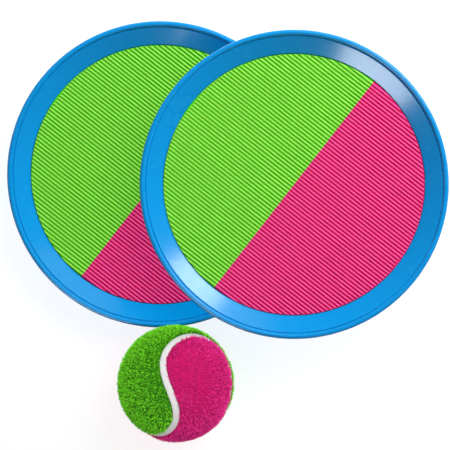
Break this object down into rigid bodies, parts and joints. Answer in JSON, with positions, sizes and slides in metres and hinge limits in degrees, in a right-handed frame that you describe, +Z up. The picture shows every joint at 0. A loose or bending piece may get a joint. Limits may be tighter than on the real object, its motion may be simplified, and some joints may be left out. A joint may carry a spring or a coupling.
{
  "type": "toss and catch set",
  "caption": "Round hand-strap paddles with two-colour ribbed hook faces in a dished blue rim, one lying on the other, and a felt ball beside them.",
  "frame": {"origin": "centre of the set's bounding box, on the floor it lies on", "axes": "+X to the right along the two paddles and +Y away from the ball, as seen from above with the ball nearest; +Z up"},
  "size_m": [0.2554, 0.244, 0.068],
  "materials": {
    "shell_plastic": "glossy bright blue moulded plastic",
    "green_hook": "bright green ribbed hook sheet, satin",
    "pink_hook": "hot pink ribbed hook sheet, satin",
    "strap_webbing": "black woven webbing",
    "grip_patch": "black hook and loop patch",
    "ball_rubber": "matte grey rubber",
    "ball_seam": "off-white rubber seam, satin",
    "green_felt": "bright green felt with a short tufted pile",
    "pink_felt": "hot pink felt with a short tufted pile"
  },
  "bodies": {
    "root": {"lower_paddle_shell": "shell_plastic", "lower_green_hook_sheet": "green_hook", "lower_pink_hook_sheet": "pink_hook", "lower_hand_strap": "strap_webbing", "lower_strap_hook_patch": "grip_patch", "lower_strap_loop_patch": "grip_patch", "upper_paddle_shell": "shell_plastic", "upper_green_hook_sheet": "green_hook", "upper_pink_hook_sheet": "pink_hook", "upper_hand_strap": "strap_webbing", "upper_strap_hook_patch": "grip_patch", "upper_strap_loop_patch": "grip_patch", "ball_core": "ball_rubber", "ball_seam": "ball_seam", "ball_green_felt": "green_felt", "ball_pink_felt": "pink_felt"}
  },
  "joints": []
}
